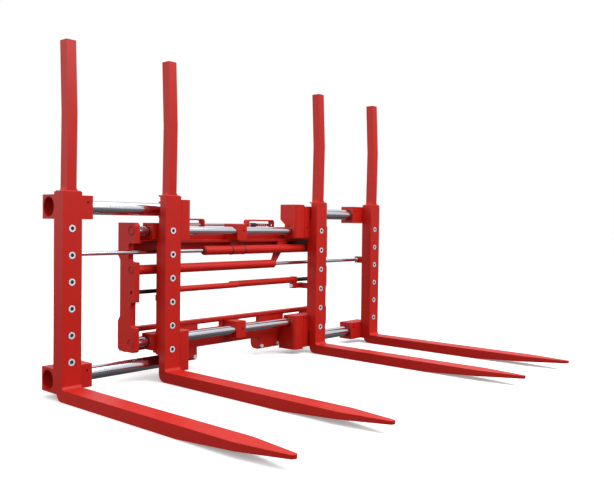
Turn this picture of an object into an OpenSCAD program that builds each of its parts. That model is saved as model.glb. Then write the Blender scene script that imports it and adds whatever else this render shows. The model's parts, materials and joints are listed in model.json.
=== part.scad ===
// Four-fork pallet handler that opens and closes on guide rods.
// X runs along the rods, forks point to -Y, the blades stand on Z = 0.
// Lengths in the sections below count Y from the front face of the fork shanks.

/* [Forks] */
// Blade length from the front face of the shank
blade_len = 1128; // [900:1:1400]
// Width of blade and shank
fork_w = 80; // [60:1:90]
// Blade thickness
blade_t = 45; // [35:1:55]
// Shank thickness
shank_t = 40; // [35:1:55]
// Shank height from the floor
shank_h = 782; // [760:1:950]
// Distance from the shank at which the blade starts to thin
taper_from = 660; // [400:10:850]
// Thickness at the tip
tip_t = 12; // [8:1:20]
// Length over which the blade narrows to its nose
nose_len = 205; // [100:5:260]
// Width of the round nose
nose_w = 26; // [20:1:50]
// Outer radius of the heel
heel_r = 34; // [20:1:45]
// Fillet between blade and shank
crotch_r = 14; // [8:1:25]

/* [Fork bolts] */
// Bolts in each shank
bolt_count = 6; // [4:1:6]
// Distance between bolts
bolt_pitch = 100; // [80:1:100]
// Height of the lowest bolt
bolt_z = 136; // [125:1:150]
// Bolt shaft diameter
bolt_d = 18; // [14:1:20]
// Bolt head diameter
bolt_head_d = 27; // [22:1:30]
// Bolt head height
bolt_head_h = 18; // [12:1:20]
// How much higher the bolts of the outer forks sit
outer_bolt_rise = 8; // [0:1:10]

/* [Backrest bars] */
// Width of a bar
bar_w = 40; // [30:1:50]
// Depth of a bar
bar_d = 45; // [35:1:50]
// Height of the bar's top
bar_top = 1345; // [1200:5:1600]
// Height of the bend
bar_bend_z = 1075; // [1000:5:1150]
// Front of the bar at its foot, behind the shank's front
bar_foot_y = 7; // [4:1:10]
// Front of the bar at the bend
bar_bend_y = 2.5; // [0:0.5:6]
// Front of the bar at its top
bar_top_y = 15; // [8:1:30]
// Radius of the fillets at the foot
bar_flare_r = 18; // [10:1:20]

/* [Spread] */
// Centre of an inner fork when spread
inner_x = 485; // [480:1:520]
// Centre of an outer fork when spread
outer_x = 957; // [950:1:1000]
// Inward travel of an inner fork
inner_stroke = 295; // [240:1:295]
// Inward travel of an outer fork on its guide rods
outer_stroke = 382; // [320:1:382]

/* [Guide rods] */
// Diameter of the outer guide rods
guide_d = 55; // [45:1:58]
// Height of the upper guide rod
guide_top_z = 725; // [720:1:730]
// Height of the lower guide rod
guide_low_z = 70; // [64:1:74]
// Diameter of the frame rods
frame_rod_d = 40; // [32:1:44]
// Height of the upper frame rod
frame_top_z = 634; // [630:1:636]
// Height of the lower frame rod
frame_low_z = 164; // [160:1:166]
// Distance of all rods behind the shank's front
rod_y = 102; // [100:1:104]

/* [Carriages] */
// Thickness of the plate behind each shank
plate_t = 22; // [18:1:25]
// Lower edge of the outer plates
outer_plate_z = 24; // [18:1:28]
// Lower edge of the inner plates
inner_plate_z = 112; // [60:1:120]
// Height at which the bevelled top of an inner plate starts
inner_plate_bevel_z = 560; // [500:5:600]
// Upper end of the inner plates
inner_plate_top = 700; // [670:5:740]
// Depth of an outer guide block
block_d = 82; // [76:1:90]
// Height of an outer guide block
block_h = 92; // [84:1:92]
// Reach of an outer block towards the middle
block_in = 127; // [100:1:127]
// Bore through the outer blocks
block_bore_d = 75; // [68:1:78]
// Wall thickness of the guide bushes
bush_wall = 7; // [4:1:8]
// Length of the guide bushes
bush_len = 70; // [50:1:80]
// Near end of an inner casting, from its fork's centre
cast_from = 46; // [44:1:50]
// Far end of an inner casting, from its fork's centre
cast_to = 142; // [130:1:150]
// Rear face of the inner castings
cast_rear = 163; // [150:1:164]

/* [Frame] */
// Outer width of the frame over its end plates
frame_w = 1248; // [1240:2:1300]
// End plate thickness
end_t = 25; // [18:1:30]
// Top of the end plates
end_top = 668; // [664:1:670]
// Bottom of the end plates
end_low = 125; // [122:1:128]
// Front edge of the end plates
end_front = 77; // [70:1:80]
// Mounting plane of the frame
face_y = 195; // [195:1:205]
// Thickness of the beams
beam_t = 24; // [20:1:28]
// Width of the middle rod supports
support_w = 62; // [40:1:64]

/* [Truck hooks] */
// Height from lower to upper carriage bar edge
truck_h = 508; // [506:1:510]
// Height of the upper hook seat
hook_seat_z = 600; // [598:1:602]
// Distance of the hook centres from the middle
hook_x = 237; // [225:1:260]
// Distance of the lower hook centres from the middle
low_hook_x = 280; // [250:1:300]
// Width of a hook
hook_w = 150; // [120:1:170]
// Groove for the lip of the carriage bar
hook_groove = 17; // [16:0.5:22]
// Depth of the groove
hook_lip_h = 16; // [14:1:18]
// Travel of the latch bar
latch_travel = 18; // [10:1:20]

/* [Cylinders] */
// Height of the upper long cylinder
long_top_z = 544; // [542:1:546]
// Height of the lower long cylinder
long_low_z = 470; // [468:1:472]
// Outer diameter of the upper long tube
long_top_d = 42; // [38:1:44]
// Outer diameter of the lower long tube
long_low_d = 41; // [36:1:42]
// Diameter of the long rods
long_rod_d = 17; // [14:1:20]
// Free end of a long tube, from the middle
long_end_x = 229; // [225:1:235]
// Height of the short cylinders
short_z = 377; // [374:1:380]
// Left short tube diameter
short_left_d = 27; // [25:1:28]
// Right short tube diameter
short_right_d = 32; // [28:1:33]
// Diameter of the left short rod
short_left_rod_d = 18; // [14:1:19]
// Diameter of the right short rod
short_right_rod_d = 21; // [16:1:22]
// Distance of the right short cylinder behind the left one
short_stagger = 35; // [30:1:40]

/* [Fits] */
// Radial running clearance of rods in bushes
run_gap = 0.05; // [0.02:0.01:0.1]
// Radial clearance of bolts in their holes
bolt_gap = 0.5; // [0.3:0.1:1]
// Radial clearance of parts that are fixed in a bore
seat_gap = 0.02; // [0.01:0.01:0.05]

/* [Hidden] */
$fn = 64;

red = "firebrick";
steel = "silver";
dark = "dimgray";
over = 1;                                   // how far a cutter reaches past a face
back = shank_t + plate_t;                   // rear face of the plates behind the shanks
block_y = back + 2;                         // front of the guide blocks, clear of the plates
bush_od = guide_d + 2 * bush_wall;
wiper_w = 8;
wiper_lip = 2;
wiper_od = guide_d + 8;
rib_w = 34;                                 // rib behind each plate
rib_d = 12;
web_r = 24;
lug_from = 16;                              // lug that holds a long rod, from its fork's centre
lug_to = 32;
lug_h = 36;
lug_reach = 16;                             // lug material behind the rod
nut_len = 10;

guide_len = outer_stroke + 210;             // travel, seat in the casting and end in the outer block
inner_bush_od = frame_rod_d + 10;
inner_bush_len = 41;
inner_bush_set = 4;                         // the bushes sit this far inside the blocks
frame_block_h = 68;                         // blocks that ride on the frame rods
frame_block_out = 60;
frame_block_rear = 132;
cast_front = 50;
cast_step = 34;                             // width of the lower shoulder next to the plate
cast_drop = 8;
seam_w = 3;
seam_d = 2;
cast_top = guide_top_z + 45;
cast_low = guide_low_z - 46;
cast_edge_r = 24;
blind_t = 12;                               // casting left behind the end of a guide rod
set_screw_d = 9;

end_in = frame_w / 2 - end_t;               // inner face of an end plate
beam_y = face_y - beam_t;                   // front face of the beams
top_ledge_z = hook_seat_z - 20;
top_beam_drop = 38;                         // how far the beam hangs below its ledge
top_beam_z = top_ledge_z - top_beam_drop;
top_beam_h = 60 + top_beam_drop;
top_ledge_d = 46;
low_beam_z = hook_seat_z - truck_h;
low_beam_h = 128;
low_ledge_d = 10;
ledge_t = 12;
beam_end_x = 440;                           // where the raised ends of the lower beam start
beam_end_rise = 24;
slot_centres = [127, 456];
slot_w = 150;
slot_z = low_beam_z + 80;
slot_h = 26;
support_front = 24;                         // reach of the rod supports in front of the rods
support_right = 20;                         // right-hand face of the supports
support_cap_w = 40;
notch_r = 12;

truck_gap = 1;                              // play under the lower carriage bar
hook_t = 22;                                // thickness of the hook lips
hook_top_z = top_beam_z + top_beam_h + 12;
bracket_len = 188;
bracket_t = 8;
bracket_w = 36;
bracket_r = 14;
bracket_top_z = hook_top_z + 38;
latch_d = 14;
latch_y = face_y + 18;
latch_z = hook_top_z + 11;
knob_len = 42;
knob_d = 20;
low_hook_y = beam_y;
low_hook_h = 60;
hook_bolt_d = 12;
hook_bolt_head_d = 19;
hook_bolt_sink = 18;
hook_bolt_x = [-24, 24];
jaw_bolt_x = [-62, 60];                      // level bolts that hold the hook blocks together
jaw_bolt_z = 47;
jaw_bolt_head_h = 8;
hook_bolt_y = face_y - 11;
hook_bolt_in = 16;                          // bolt length inside the lower beam

spigot_d = 24;
long_wall = 4;
long_cap = 20;
short_wall = 3;
gland_len = 42;
gland_nose = 4;
piston_len = 30;
piston_gap = 0.2;
saddle_w = 22;
hanger_t = 12;
clamp_w = 76;
clamp_x = -24;
short_left_y = rod_y - 2;
short_right_y = short_left_y + short_stagger;
short_left_end = inner_stroke - 317;        // inner end of the left short tube
short_right_end = inner_stroke - 263;       // the same of the right one, mirrored
short_lug_x = 418;
short_lug_w = 28;
short_piston_x = -60;
arm_z = short_z - 31;
arm_h = 26;
arm_half = 14;
arm_bolt_d = 12;
port_x = 410;
port_w = 120;
port_h = 34;
port_d = 17;

overall_back = face_y + hook_groove + hook_t;
centre_y = (blade_len - overall_back) / 2;  // brings the middle of the footprint to Y = 0

function arc(cy, cz, r, a0, a1, n = 8) =
    [for (i = [0:n]) let (a = a0 + (a1 - a0) * i / n) [cy + r * cos(a), cz + r * sin(a)]];

// Everything below is drawn with Y = 0 at the shanks and moved as a whole.
module place() { translate([0, centre_y, 0]) children(); }

// side -1 is the left half, side 1 the right half
module half(side) {
    if (side > 0) mirror([1, 0, 0]) children();
    else children();
}

// A Y-Z outline drawn out along X from x0 by w
module along_x(x0, w) {
    translate([x0, 0, 0]) rotate([90, 0, 90]) linear_extrude(w) children();
}

// An X-Z outline drawn out along Y from y0 by d
module along_y(y0, d) {
    translate([0, y0 + d, 0]) rotate([90, 0, 0]) linear_extrude(d) children();
}

module rod_x(x0, x1, y, z, d) {
    translate([x0, y, z]) rotate([0, 90, 0]) cylinder(d = d, h = x1 - x0);
}

module box(x0, x1, y0, y1, z0, z1) {
    translate([x0, y0, z0]) cube([x1 - x0, y1 - y0, z1 - z0]);
}

// A rectangle with four rounded corners
module round_rect(w, h, r) {
    for (x = [r, w - r], y = [r, h - r]) translate([x, y]) circle(r, $fn = 24);
    translate([r, 0]) square([w - 2 * r, h]);
    translate([0, r]) square([w, h - 2 * r]);
}

// ---- forks ----
module fork_side() {
    polygon(concat(
        [[-blade_len, blade_t], [-blade_len, blade_t - tip_t], [-taper_from, 0]],
        arc(shank_t - heel_r, heel_r, heel_r, -90, 0),
        [[shank_t, shank_h], [0, shank_h]],
        arc(-crotch_r, blade_t + crotch_r, crotch_r, 0, -90)));
}

module fork_plan() {
    polygon(concat(
        [[-fork_w / 2, shank_t + over], [-fork_w / 2, -blade_len + nose_len]],
        arc(0, -blade_len + nose_w / 2, nose_w / 2, 180, 360, 16),
        [[fork_w / 2, -blade_len + nose_len], [fork_w / 2, shank_t + over]]));
}

module bolt_holes(d, y0, y1, rise) {
    for (i = [0 : bolt_count - 1])
        translate([0, y0, bolt_z + rise + i * bolt_pitch]) rotate([-90, 0, 0]) cylinder(d = d, h = y1 - y0);
}

module fork(x, rise) {
    translate([x, 0, 0]) difference() {
        intersection() {
            along_x(-fork_w / 2, fork_w) fork_side();
            translate([0, 0, -over]) linear_extrude(shank_h + 2 * over) fork_plan();
        }
        bolt_holes(bolt_head_d + 6 * bolt_gap, -over, bolt_head_h, rise);
        bolt_holes(bolt_d + 2 * bolt_gap, -over, shank_t + over, rise);
    }
}

module socket_bolt() {
    difference() {
        union() {
            cylinder(d = bolt_head_d, h = bolt_head_h);
            cylinder(d = bolt_d, h = back - 2);
        }
        translate([0, 0, -over]) cylinder(d = bolt_d * 0.9, h = bolt_head_h * 0.5 + over, $fn = 6);
    }
}

module bolts(x, rise) {
    for (i = [0 : bolt_count - 1])
        translate([x, 0, bolt_z + rise + i * bolt_pitch]) rotate([-90, 0, 0]) socket_bolt();
}

module backrest(x) {
    foot = [[bar_foot_y, shank_h], [bar_bend_y, bar_bend_z], [bar_top_y, bar_top]];
    rear = [for (i = [2:-1:0]) [foot[i][0] + bar_d, foot[i][1]]];
    half_w = bar_w / 2;
    translate([x, 0, 0]) {
        along_x(-half_w, bar_w) polygon(concat(foot, rear));
        along_y(bar_foot_y, bar_d - 4) polygon(concat(
            [[-half_w - bar_flare_r, shank_h], [half_w + bar_flare_r, shank_h]],
            arc(half_w + bar_flare_r, shank_h + bar_flare_r, bar_flare_r, 270, 180),
            arc(-half_w - bar_flare_r, shank_h + bar_flare_r, bar_flare_r, 0, -90)));
    }
}

// ---- carriages, drawn for the left side ----

// Quarter-round web that fills an inner corner at (x, z), opening along dx and dz
module corner_web(x, z, r, dx, dz, y0, d) {
    along_y(y0, d) translate([x, z]) difference() {
        polygon([[-dx * over, -dz * over], [dx * r, -dz * over], [dx * r, 0], [0, dz * r],
            [-dx * over, dz * r]]);
        translate([dx * r, dz * r]) circle(r);
    }
}

module carriage_plate(x, rise) {
    difference() {
        children();
        translate([x, 0, 0]) bolt_holes(bolt_d, shank_t - over, back - 2, rise);
    }
}

module set_screw_hole(x, y, z) {
    translate([x, y - over, z]) rotate([-90, 0, 0]) cylinder(d = set_screw_d, h = 12, $fn = 24);
}

module outer_carriage(lug_z) {
    x = -outer_x;
    side_out = x - 39;
    side_in = x + block_in;
    difference() {
        union() {
            carriage_plate(x, outer_bolt_rise)
                box(x - fork_w / 2, x + fork_w / 2, shank_t, back, outer_plate_z, shank_h);
            // rib that ties both guide blocks behind the plate
            box(x - rib_w / 2, x + rib_w / 2, back - over, back + rib_d, guide_low_z, guide_top_z);
            for (z = [guide_top_z, guide_low_z]) {
                box(side_out, side_in, block_y, block_y + block_d, z - block_h / 2, z + block_h / 2);
                box(side_out, x + fork_w / 2, back - over, block_y + over, z - block_h / 2, z + block_h / 2);
            }
            // lug that takes the end of the long cylinder rod
            box(x + lug_from, x + lug_to, back - over, rod_y + lug_reach,
                lug_z - lug_h / 2, lug_z + lug_h / 2);
        }
        for (z = [guide_top_z, guide_low_z]) {
            rod_x(side_out - over, side_in - wiper_w, rod_y, z, bush_od + 2 * seat_gap);
            rod_x(side_out - over, side_in + over, rod_y, z, wiper_od + 2 * seat_gap);
            rod_x(side_out - over, side_in - bush_len - wiper_w, rod_y, z, block_bore_d);
            set_screw_hole(x + block_in - 22, block_y, z + 20);
        }
        rod_x(x + lug_from - over, x + lug_to + over, rod_y, lug_z, long_rod_d + 2 * seat_gap);
    }
}

module outer_bushes() {
    x1 = -outer_x + block_in - wiper_w;
    for (z = [guide_top_z, guide_low_z]) difference() {
        rod_x(x1 - bush_len, x1, rod_y, z, bush_od);
        rod_x(x1 - bush_len - over, x1 + over, rod_y, z, guide_d + 2 * run_gap);
    }
}

module outer_wipers() {
    x1 = -outer_x + block_in;
    for (z = [guide_top_z, guide_low_z]) difference() {
        union() {
            rod_x(x1 - wiper_w, x1, rod_y, z, wiper_od);
            rod_x(x1, x1 + wiper_lip, rod_y, z, wiper_od - 4);
        }
        rod_x(x1 - wiper_w - over, x1 + wiper_lip + over, rod_y, z, guide_d + 2 * run_gap);
    }
}

// Y-Z outline of the upper casting; the lower one is the same outline turned over
module casting_side(z_rod, z_outer) {
    s = sign(z_outer - z_rod);
    z0 = z_rod - s * frame_block_h / 2;
    polygon([[cast_front, z0], [frame_block_rear, z0], [frame_block_rear, z_rod + s * frame_block_h / 2],
        [cast_rear, z_rod + s * (frame_block_h / 2 + 24)], [cast_rear, z_outer], [cast_front, z_outer]]);
}

module casting(z_rod, z_outer) {
    x = -inner_x;
    s = sign(z_outer - z_rod);
    z_near = z_rod - s * frame_block_h / 2;
    difference() {
        union() {
            along_x(x + cast_from, cast_to - cast_from) casting_side(z_rod, z_outer);
            // shoulder that joins the casting to the plate
            box(x + bolt_d / 2 + 2, x + cast_from + over, cast_front, back,
                min(z_near, z_outer - s * cast_drop), max(z_near, z_outer - s * cast_drop));
            box(x - frame_block_out, x + cast_from + over, block_y, frame_block_rear,
                z_rod - frame_block_h / 2, z_rod + frame_block_h / 2);
            box(x - fork_w / 2, x + fork_w / 2, back - over, block_y + over,
                z_rod - frame_block_h / 2, z_rod + frame_block_h / 2);
        }
        // round off the front edge that faces the middle
        translate([x + cast_to, cast_front, 0]) difference() {
            box(-cast_edge_r, over, -over, cast_edge_r, 0, shank_h);
            translate([-cast_edge_r, cast_edge_r, -over]) cylinder(r = cast_edge_r, h = shank_h + 2 * over);
        }
        // step down next to the plate
        box(x + cast_from - over, x + cast_from + cast_step, cast_front - over, cast_rear + over,
            s > 0 ? z_outer - cast_drop : z_outer - over, s > 0 ? z_outer + over : z_outer + cast_drop);
        // seam between the shoulder and the casting
        box(x + cast_from + cast_step - seam_w / 2, x + cast_from + cast_step + seam_w / 2,
            cast_front - over, cast_front + seam_d, 0, shank_h);
    }
}

module inner_carriage() {
    x = -inner_x;
    difference() {
        union() {
            carriage_plate(x, 0) along_x(x - fork_w / 2, fork_w)
                polygon([[shank_t, inner_plate_z], [back, inner_plate_z], [back, inner_plate_bevel_z],
                    [shank_t + 4, inner_plate_top], [shank_t, inner_plate_top]]);
            casting(frame_top_z, cast_top);
            casting(frame_low_z, cast_low);
            box(x - rib_w / 2, x + rib_w / 2, back - over, back + rib_d, frame_low_z, frame_top_z);
            for (side = [-1, 1], up = [-1, 1])
                corner_web(x + side * rib_w / 2, (up < 0 ? frame_top_z : frame_low_z) + up * frame_block_h / 2,
                    web_r, side, up, block_y, rib_d - 2);
            children();
        }
        for (z = [frame_top_z, frame_low_z]) {
            rod_x(x - frame_block_out - over, x + cast_to + over, rod_y, z, inner_bush_od + 2 * seat_gap);
            set_screw_hole(x + cast_from + 12, cast_front, z + 17);
        }
        for (z = [guide_top_z, guide_low_z])
            rod_x(x + cast_from - over, x + cast_to - blind_t, rod_y, z, guide_d + 2 * seat_gap);
    }
}

module inner_bushes() {
    x_out = -inner_x - frame_block_out + inner_bush_set;
    x_in = -inner_x + cast_to - inner_bush_len - inner_bush_set;
    for (z = [frame_top_z, frame_low_z], x0 = [x_out, x_in]) {
        difference() {
            rod_x(x0, x0 + inner_bush_len, rod_y, z, inner_bush_od);
            rod_x(x0 - over, x0 + inner_bush_len + over, rod_y, z, frame_rod_d + 2 * run_gap);
        }
    }
}

module guide_rod(z) {
    x1 = -inner_x + cast_to - blind_t;
    rod_x(x1 - guide_len + 3, x1, rod_y, z, guide_d);
    translate([x1 - guide_len, rod_y, z]) rotate([0, 90, 0]) cylinder(d1 = guide_d - 6, d2 = guide_d, h = 3);
}

// ---- frame ----

// Y-Z outline of an end plate; each notch is [low, high, depth from the front]
module end_plate_side(notches) {
    difference() {
        polygon(concat(
            [[end_front + 12, end_low], [face_y - 12, end_low], [face_y, end_low + 12],
             [face_y, low_beam_z + low_beam_h + 32], [face_y - 15, low_beam_z + low_beam_h + 52],
             [face_y - 15, top_beam_z - 32], [face_y, top_beam_z - 12], [face_y, end_top]],
            arc(end_front + 16, end_top - 16, 16, 90, 180),
            arc(end_front + 12, end_low + 12, 12, 180, 270)));
        for (n = notches) translate([end_front - 2 * notch_r, n[0]])
            round_rect(n[2] + 2 * notch_r, n[1] - n[0], notch_r);
    }
}

module end_plate(notches, spigots) {
    difference() {
        along_x(-frame_w / 2, end_t) end_plate_side(notches);
        for (z = [frame_top_z, frame_low_z])
            rod_x(-frame_w / 2 - over, -end_in + over, rod_y, z, frame_rod_d - 10 + 2 * seat_gap);
        for (p = spigots) rod_x(-frame_w / 2 - over, -end_in + over, p[0], p[1], p[2] + 2 * seat_gap);
    }
}

module frame_rod(z) {
    rod_x(-frame_w / 2, frame_w / 2, rod_y, z, frame_rod_d - 10);
    rod_x(-end_in, end_in, rod_y, z, frame_rod_d);
}

module beam(z, h, ledge_y, ledge_z) {
    box(-end_in, end_in, beam_y, face_y, z, z + h);
    box(-end_in, end_in, ledge_y, beam_y + over, ledge_z, ledge_z + ledge_t);
}

module upper_beam() {
    beam(top_beam_z, top_beam_h, beam_y - top_ledge_d, top_ledge_z);
}

module slotted_beam() {
    difference() {
        beam(low_beam_z, low_beam_h, beam_y - low_ledge_d, low_beam_z + low_beam_h - ledge_t);
        for (side = [-1, 1]) {
            for (x = slot_centres) along_y(beam_y - over, beam_t + 2 * over)
                translate([side * x - slot_w / 2, slot_z]) round_rect(slot_w, slot_h, 4);
            for (x = hook_bolt_x) translate([side * (low_hook_x - x), hook_bolt_y, low_beam_z - over])
                cylinder(d = hook_bolt_d + 2 * bolt_gap, h = hook_bolt_in + 2 * over);
            // the beam's ends sit higher than its middle
            box(min(side * beam_end_x, side * frame_w / 2), max(side * beam_end_x, side * frame_w / 2),
                beam_y - over, face_y + over, low_beam_z - over, low_beam_z + beam_end_rise);
        }
    }
}

module rod_support(z, z0, z1) {
    difference() {
        box(support_right - support_w, support_right, rod_y - support_front, beam_y, z0, z1);
        rod_x(support_right - support_w - over, support_right + over, rod_y, z, frame_rod_d + 2 * seat_gap);
        set_screw_hole(support_right - support_cap_w / 2, rod_y - support_front, z + 2);
    }
}

module upper_support() {
    rod_support(frame_top_z, top_ledge_z + ledge_t, end_top - 1);
    // cap that reaches back over the beam
    box(support_right - support_cap_w, support_right, beam_y - over, face_y - 2,
        top_beam_z + top_beam_h, end_top - 1);
}

module top_hook() {
    x0 = -hook_x - hook_w / 2;
    x1 = -hook_x + hook_w / 2;
    box(x0, x1, beam_y + 3, overall_back, top_beam_z + top_beam_h, hook_top_z);
    box(x0, x1, face_y, overall_back, hook_seat_z, hook_top_z);
    box(x0, x1, face_y + hook_groove, overall_back, hook_seat_z - hook_lip_h, hook_top_z);
}

// Strap bent over the hook, which carries and guards the latch bar
module latch_bracket() {
    x0 = -hook_x - bracket_len / 2;
    difference() {
        translate([x0, latch_y + bracket_w / 2, hook_top_z]) rotate([90, 0, 0]) linear_extrude(bracket_w)
            difference() {
                strap_outline(bracket_len, bracket_top_z - hook_top_z, bracket_r);
                translate([bracket_t, -over]) strap_outline(bracket_len - 2 * bracket_t,
                    bracket_top_z - hook_top_z - bracket_t + over, bracket_r - bracket_t);
            }
        rod_x(x0 - over, x0 + bracket_len + over, latch_y, latch_z, latch_d + 2 * run_gap);
    }
}

module strap_outline(w, h, r) {
    square([w, h - r]);
    translate([r, 0]) square([w - 2 * r, h]);
    for (x = [r, w - r]) translate([x, h - r]) circle(r);
}

module latch() {
    x0 = -hook_x - bracket_len / 2 - latch_travel - 8;
    rod_x(x0, hook_x + bracket_len / 2 - 12, latch_y, latch_z, latch_d);
}

module knob() {
    x0 = hook_x - bracket_len / 2 + bracket_t + latch_travel + 4;
    difference() {
        union() {
            rod_x(x0, x0 + knob_len, latch_y, latch_z, knob_d - 5);
            rod_x(x0 + 5, x0 + knob_len - 5, latch_y, latch_z, knob_d);
        }
        rod_x(x0 - over, x0 + knob_len + over, latch_y, latch_z, latch_d);
    }
}

module lower_hook() {
    x0 = -low_hook_x - hook_w / 2;
    top_z = low_beam_z - truck_gap;
    low_z = top_z - low_hook_h;
    difference() {
        along_x(x0, hook_w) polygon(concat(
            arc(low_hook_y + 14, low_z + 14, 14, 180, 270),
            arc(overall_back - 30, low_z + 30, 30, 270, 360),
            [[overall_back, top_z + hook_lip_h], [face_y + hook_groove, top_z + hook_lip_h],
            [face_y + hook_groove, top_z], [face_y, top_z], [face_y, low_beam_z], [low_hook_y, low_beam_z]]));
        for (x = hook_bolt_x) translate([-low_hook_x + x, hook_bolt_y, low_z - over]) {
            cylinder(d = hook_bolt_d + 2 * bolt_gap, h = low_hook_h + 2 * over);
            cylinder(d = hook_bolt_head_d + 4 * bolt_gap, h = hook_bolt_sink + over);
        }
        for (x = jaw_bolt_x) translate([-low_hook_x + x, low_hook_y - over, jaw_bolt_z]) rotate([-90, 0, 0])
            cylinder(d = hook_bolt_d + 2 * seat_gap, h = overall_back - low_hook_y + 2 * over);
    }
}

module jaw_bolt() {
    rotate([-90, 0, 0]) difference() {
        union() {
            translate([0, 0, -jaw_bolt_head_h]) cylinder(d = hook_bolt_head_d, h = jaw_bolt_head_h);
            translate([0, 0, -over]) cylinder(d = hook_bolt_d, h = overall_back - low_hook_y + over);
        }
        translate([0, 0, -jaw_bolt_head_h - over]) cylinder(d = hook_bolt_d * 0.8, h = 5 + over, $fn = 6);
    }
}

module hook_bolts() {
    z0 = low_beam_z - truck_gap - low_hook_h + 2;
    for (side = [-1, 1]) {
        for (x = hook_bolt_x) translate([side * (low_hook_x - x), hook_bolt_y, z0]) difference() {
            union() {
                cylinder(d = hook_bolt_head_d, h = hook_bolt_sink - 2);
                cylinder(d = hook_bolt_d, h = low_hook_h - 2 + truck_gap + hook_bolt_in);
            }
            translate([0, 0, -over]) cylinder(d = hook_bolt_d * 0.9, h = hook_bolt_sink * 0.5, $fn = 6);
        }
        for (x = jaw_bolt_x) translate([side * (low_hook_x - x), low_hook_y, jaw_bolt_z]) jaw_bolt();
    }
}

// ---- long cylinders, drawn with the rod to the left ----
module long_tube(z, d) {
    difference() {
        union() {
            rod_x(-long_end_x, end_in, rod_y, z, d);
            rod_x(end_in - over, frame_w / 2, rod_y, z, spigot_d);
        }
        rod_x(-long_end_x - over, end_in - long_cap, rod_y, z, d - 2 * long_wall);
    }
}

module long_gland(z, d) {
    difference() {
        union() {
            rod_x(-long_end_x - gland_nose, -long_end_x, rod_y, z, d - 6);
            rod_x(-long_end_x, -long_end_x + gland_len, rod_y, z, d - 2 * long_wall - 2 * seat_gap);
        }
        rod_x(-long_end_x - gland_nose - over, -long_end_x + gland_len + over,
            rod_y, z, long_rod_d + 2 * run_gap);
    }
}

module long_rod(z, d) {
    x = -outer_x;
    piston_x = -long_end_x + gland_len + 8;
    rod_x(x + lug_from - 6, piston_x, rod_y, z, long_rod_d);
    rod_x(piston_x, piston_x + piston_len, rod_y, z, d - 2 * long_wall - 2 * piston_gap);
    translate([x + lug_to, rod_y, z]) rotate([0, 90, 0]) cylinder(d = long_rod_d * 1.75, h = nut_len, $fn = 6);
}

module lower_saddle() {
    x1 = long_end_x;
    x0 = x1 - saddle_w;
    hanger_y = beam_y - top_ledge_d;
    difference() {
        union() {
            along_y(hanger_y, hanger_t) polygon([[x0, long_low_z - 12], [x1 + 26, long_low_z - 12],
                [x1 + 46, long_low_z + 8], [x1 + 128, top_ledge_z], [x1 + 60, top_ledge_z],
                [x1 + 16, long_low_z + 12], [x0, long_low_z + 12]]);
            box(x0, x1, rod_y, hanger_y + over, long_low_z - 12, long_low_z + 12);
        }
        rod_x(x0 - over, x1 + over, rod_y, long_low_z, long_low_d + 2 * seat_gap);
    }
}

module upper_clamp() {
    x0 = clamp_x - clamp_w / 2;
    difference() {
        union() {
            rod_x(x0, x0 + clamp_w, rod_y, long_top_z, long_top_d + 2);
            box(x0 + clamp_w / 4, x0 + clamp_w * 3 / 4, rod_y + long_top_d / 2 - 2, beam_y,
                long_top_z - 12, top_ledge_z);
        }
        rod_x(x0 - over, x0 + clamp_w + over, rod_y, long_top_z, long_top_d + 2 * seat_gap);
    }
}

// ---- short cylinders, drawn for the left side ----
module short_rod(y, rod_d, tube_d) {
    rod_x(-frame_w / 2, -end_in, y, short_z, rod_d - 3);
    rod_x(-end_in, short_piston_x, y, short_z, rod_d);
    rod_x(short_piston_x, short_piston_x + 25, y, short_z, tube_d - 2 * short_wall - 2 * piston_gap);
}

module short_cylinder(y, d, rod_d, end_x) {
    x0 = -short_lug_x - short_lug_w / 2;
    x1 = -short_lug_x + short_lug_w / 2;
    difference() {
        union() {
            rod_x(x0, end_x, y, short_z, d);
            box(x0, x1, y - arm_half, y + arm_half, arm_z - arm_h / 2, short_z + d / 2 + 1);
        }
        rod_x(x1 - 4, end_x - 5, y, short_z, d - 2 * short_wall);
        rod_x(x0 - over, x1, y, short_z, rod_d + 2 * run_gap);
        rod_x(x0 - over, x1 + over, y, arm_z, arm_bolt_d + 2 * seat_gap);
    }
}

// Arm on an inner carriage that takes hold of its short cylinder
module short_arm(y) {
    x1 = -short_lug_x - short_lug_w / 2;
    difference() {
        union() {
            box(-inner_x - 5, x1, y - arm_half, y + arm_half, arm_z - arm_h / 2, arm_z + arm_h / 2);
            box(-inner_x - 5, -inner_x + 30, back - over, y, arm_z - arm_h / 2, arm_z + arm_h / 2);
        }
        rod_x(x1 - 30, x1 + over, y, arm_z, arm_bolt_d + 2 * seat_gap);
    }
}

module arm_bolt(y) {
    x1 = -short_lug_x + short_lug_w / 2;
    rod_x(x1 - short_lug_w - 28, x1, y, arm_z, arm_bolt_d);
    translate([x1, y, arm_z]) rotate([0, 90, 0]) cylinder(d = arm_bolt_d * 1.8, h = 10, $fn = 6);
}

module ports() {
    difference() {
        box(port_x, port_x + port_w, beam_y - 36, beam_y, top_ledge_z - port_h, top_ledge_z);
        for (i = [0:3]) translate([port_x + port_w * (i + 0.5) / 4, beam_y - 18, top_ledge_z - port_h - over])
            cylinder(d = port_d, h = 15 + over);
    }
}

// ---- one module for each node ----
left_notches = [[503, 582, 45], [228, 336, 26]];
right_notches = [[446, 494, 45], [228, 336, 26]];
left_spigots = [[rod_y, long_low_z, spigot_d], [short_left_y, short_z, short_left_rod_d - 3]];
right_spigots = [[rod_y, long_top_z, spigot_d], [short_right_y, short_z, short_right_rod_d - 3]];

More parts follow.
